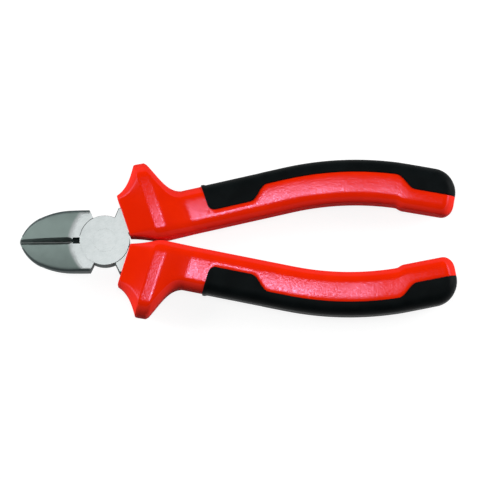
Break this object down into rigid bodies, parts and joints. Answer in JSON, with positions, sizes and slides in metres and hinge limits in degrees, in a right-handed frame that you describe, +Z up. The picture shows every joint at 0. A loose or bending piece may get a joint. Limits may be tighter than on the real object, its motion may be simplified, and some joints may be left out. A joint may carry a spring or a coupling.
{
  "type": "diagonal cutting pliers",
  "caption": "Side-cutting nippers: lapped steel jaws on a flush rivet, hard two-colour handle sleeves with finger guards and soft inlays.",
  "frame": {"origin": "under the middle of the tool's outline, on the surface that it lies on", "axes": "+X from the jaws to the handle ends, +Y to the handle of the front lever, +Z up through the flat of the joint"},
  "size_m": [0.16, 0.0576, 0.0166],
  "materials": {
    "lever_steel": "ground flat about the joint, satin on the jaws",
    "rivet_steel": "ground flush with the joint",
    "sleeve": "hard moulded orange-red, satin gloss",
    "grip": "soft moulded black, fine matt"
  },
  "bodies": {
    "rear_half": {"rear_lever": "lever_steel", "pivot_rivet": "rivet_steel", "lower_sleeve": "sleeve", "lower_grip": "grip"},
    "front_half": {"front_lever": "lever_steel", "upper_sleeve": "sleeve", "upper_grip": "grip"}
  },
  "joints": [
    {"name": "jaw_pivot", "type": "hinge", "parent": "rear_half", "child": "front_half", "pos_m": [-0.04892, 0, 0.0083], "axis": [0, 0, 1], "range_deg": [0, 45]}
  ]
}
